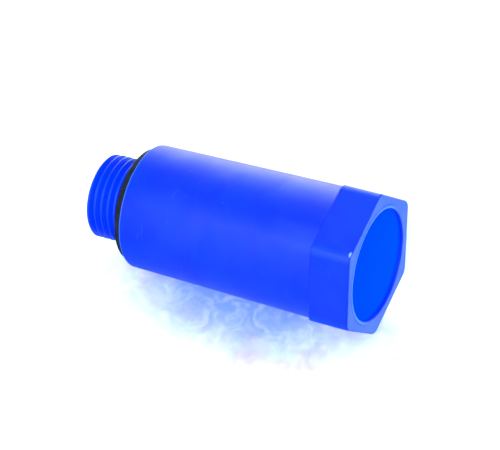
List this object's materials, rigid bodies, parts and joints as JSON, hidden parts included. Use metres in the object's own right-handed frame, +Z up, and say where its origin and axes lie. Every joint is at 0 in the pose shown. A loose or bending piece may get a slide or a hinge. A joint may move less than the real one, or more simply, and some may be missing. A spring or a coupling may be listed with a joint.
{
  "type": "threaded pipe test plug",
  "caption": "Long hollow plug with a hexagonal open mouth, a smooth round barrel and a short threaded spigot sealed by a flat rubber ring, for closing a pipe port.",
  "frame": {"origin": "on the plug's axis, in the sealing plane, which is the outer face of the rubber ring", "axes": "X is the plug's axis: the spigot points to -X and the open mouth to +X. +Z is up: the plug lies on one flat of its hexagon, and the opposite flat faces +Z."},
  "size_m": [0.0741, 0.0374, 0.033],
  "materials": {
    "body_plastic": "blue moulded plastic, satin",
    "seal_rubber": "black rubber, matt"
  },
  "bodies": {
    "root": {"plug_body": "body_plastic", "seal_ring": "seal_rubber"}
  },
  "joints": []
}
